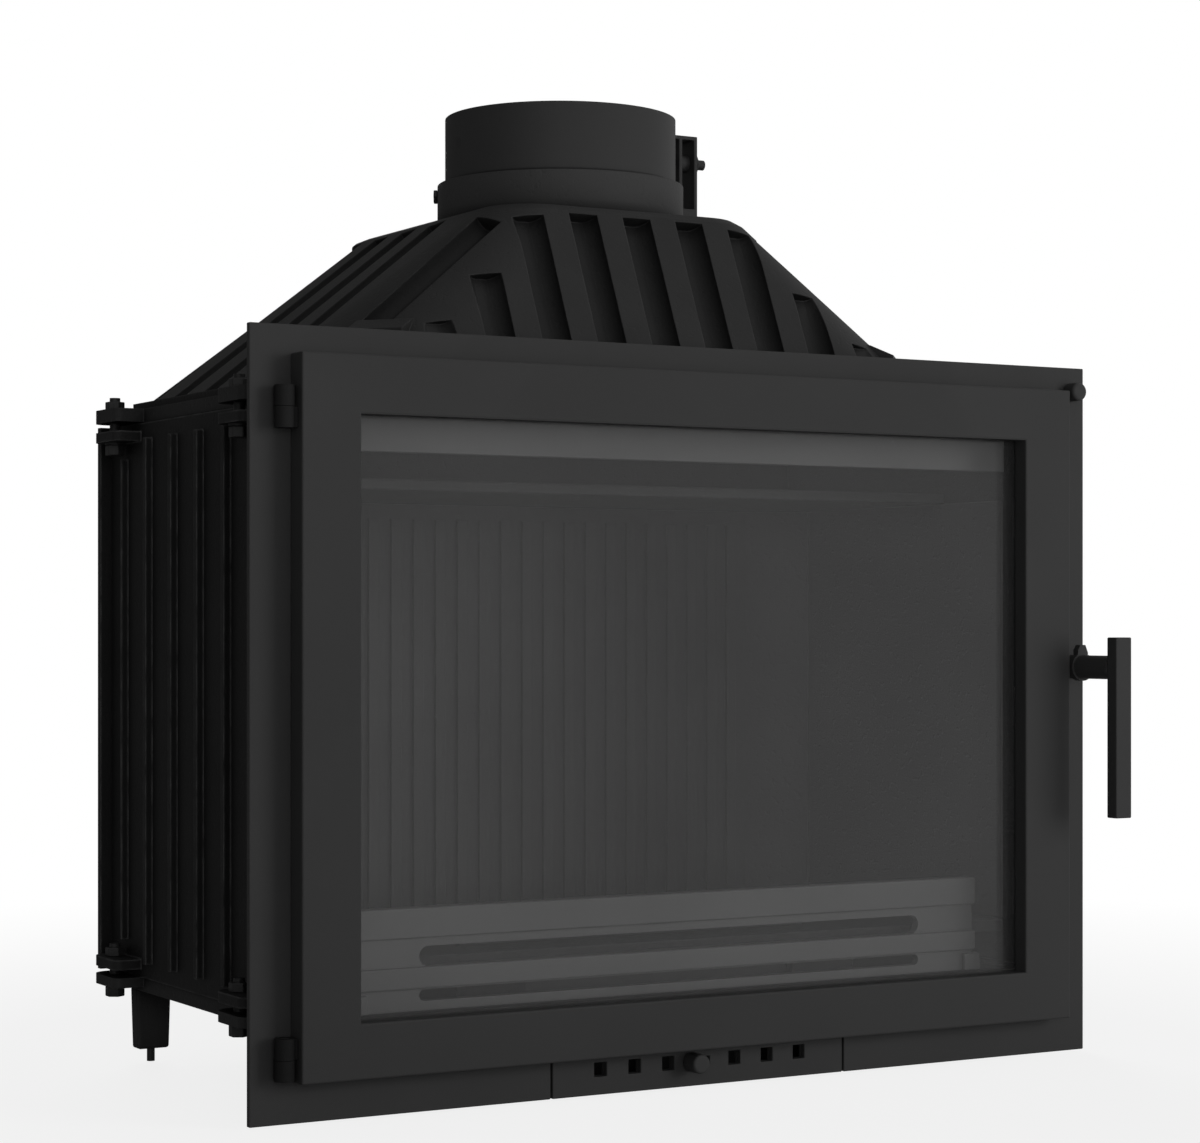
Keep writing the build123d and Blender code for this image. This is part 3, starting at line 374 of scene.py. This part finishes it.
def makeRing(name, node, look):  # a rectangular loop of soft packing, in the space its node holds
    low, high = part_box(node)
    size = [high[n] - low[n] for n in range(3)]
    sheet = bmesh.new()
    bmesh.ops.create_grid(sheet, x_segments=1, y_segments=1, size=0.5)
    bmesh.ops.scale(sheet, vec=(size[0], size[2], 1), verts=sheet.verts)
    bmesh.ops.inset_region(
        sheet, faces=sheet.faces[:], thickness=look["width"], use_boundary=True, use_even_offset=True,
    )
    inner = min(sheet.faces, key=lambda face: face.calc_center_median().length)
    bmesh.ops.delete(sheet, geom=[inner], context="FACES")
    grown = bmesh.ops.extrude_face_region(sheet, geom=sheet.faces[:])
    raised = [part for part in grown["geom"] if isinstance(part, bmesh.types.BMVert)]
    bmesh.ops.translate(sheet, vec=(0, 0, size[1]), verts=raised)
    corners = [edge for edge in sheet.edges if abs(edge.verts[0].co.z - edge.verts[1].co.z) > size[1] / 2]
    bevel(sheet, corners, look["corner"], look["steps"])
    rims = [edge for edge in sheet.edges if edge.is_manifold and edge.calc_face_angle() > rounding["rim"]]
    bevel(sheet, rims, look["round"], look["steps"])
    middle = Vector([(low[n] + high[n]) / 2 for n in range(3)])
    upright = Matrix.Translation((middle[0], high[1], middle[2])) @ Matrix.Rotation(math.radians(90), 4, "X")
    bmesh.ops.transform(sheet, matrix=upright, verts=sheet.verts)
    made = closePiece(name, sheet, node)
    made.data.shade_smooth()
    return made


makeRing("doorRope", "door_rope", doorRope)
makeRing("glassGasket", "glass_gasket", glassGasket)
print("packing made")


studio = {
    "camera": (-1.0827, -1.8884, 0.3347),
    "heading": 29.86,
    "lens": 85.5,
    "rise": 50.5 / 1200,
    "floor": 205,
    "sky": 0.23,
    "mirrorDark": 0.10,
    "mirrorBright": 0.50,
    "front": (0.6, -0.8, 0),
    "aim": (0, 0, 0.35),
    "ground": 9,
}
lamps = {
    "key": {"place": (1.95, -2.9, 0.75), "size": (1.5, 1.8), "power": 74},
    "fill": {"place": (-1.2, -3.3, 0.7), "size": (1.2, 1.6), "power": 32},
    "back": {"place": (0.9, 3.2, 1.4), "size": (2.0, 1.8), "power": 75},
}
white = (1, 1, 1, 1)


def rayIs(wire, kind):
    return wire.node("ShaderNodeLightPath", {}, {}, f"Is {kind} Ray")


def mirrorLevel(wire, look, low, high):  # brighter in front of the insert than behind it
    ahead = objectPlace(wire).along(look["front"]).limit(low, high)
    return ahead * (look["mirrorBright"] - look["mirrorDark"]) + look["mirrorDark"]


def setCamera(look):
    made = bpy.data.objects.new("camera", bpy.data.cameras.new("camera"))
    bpy.context.scene.collection.objects.link(made)
    made.location = look["camera"]
    made.rotation_euler = (math.radians(90), 0, math.radians(-look["heading"]))
    made.data.lens = look["lens"]
    made.data.sensor_width = 36
    made.data.shift_y = look["rise"]
    made.data.clip_end = 60
    bpy.context.scene.camera = made


def addLight(name, look, target):
    made = bpy.data.objects.new(name, bpy.data.lights.new(name, "AREA"))
    bpy.context.scene.collection.objects.link(made)
    made.location = look["place"]
    made.rotation_euler = (Vector(target) - Vector(look["place"])).to_track_quat("-Z", "Y").to_euler()
    made.data.shape = "RECTANGLE"
    made.data.size, made.data.size_y = look["size"]
    made.data.energy = look["power"]
    made.visible_glossy = False  # the walls of the studio are what the gloss shows


def setWorld(look):  # white to the camera, dim and even to the paint, brighter in front in reflections
    world = bpy.data.worlds.new("studio")
    bpy.context.scene.world = world
    world.use_nodes = True
    world.node_tree.nodes.clear()
    wire = Wire(world.node_tree)
    plain = rayIs(wire, "Glossy") * (mirrorLevel(wire, look, -0.6, 0.2) - look["sky"]) + look["sky"]
    bright = rayIs(wire, "Camera").maths("MAXIMUM", rayIs(wire, "Transmission"))
    light = wire.node("ShaderNodeBackground", {}, {"Color": white, "Strength": bright.maths("MAXIMUM", plain)})
    wire.node("ShaderNodeOutputWorld", {}, {"Surface": light})


def makeFloor(look):  # chalky near the insert, fading into the white background further out
    sheet = bmesh.new()
    bmesh.ops.create_grid(sheet, x_segments=1, y_segments=1, size=look["ground"])
    made = bpy.data.objects.new("floor", bpy.data.meshes.new("floor"))
    sheet.to_mesh(made.data)
    sheet.free()
    bpy.context.scene.collection.objects.link(made)
    material, wire = newFinish("floor")
    seen = rayIs(wire, "Camera")
    mirrored = rayIs(wire, "Glossy")
    far = wire.node("ShaderNodeVectorMath", {"operation": "LENGTH"}, {0: objectPlace(wire)}, 1).limit(0.5, 1.4)
    chalk = wire.node("ShaderNodeBsdfDiffuse", {}, {"Color": grey(look["floor"])})
    strength = seen.maths("MAXIMUM", mirrored * mirrorLevel(wire, look, 0.1, 0.9))
    glow = wire.node("ShaderNodeEmission", {}, {"Color": white, "Strength": strength})
    shows = (seen * (far * 0.17 + 0.83)).maths("MAXIMUM", mirrored)
    both = wire.node("ShaderNodeMixShader", {}, {0: shows, 1: chalk, 2: glow})
    wire.node("ShaderNodeOutputMaterial", {}, {"Surface": both})
    made.data.materials.append(material)


setCamera(studio)
setWorld(studio)
makeFloor(studio)
for name, look in lamps.items():
    addLight(name, look, studio["aim"])
bpy.context.scene.view_settings.view_transform = "Standard"
print("camera, lights and floor set")
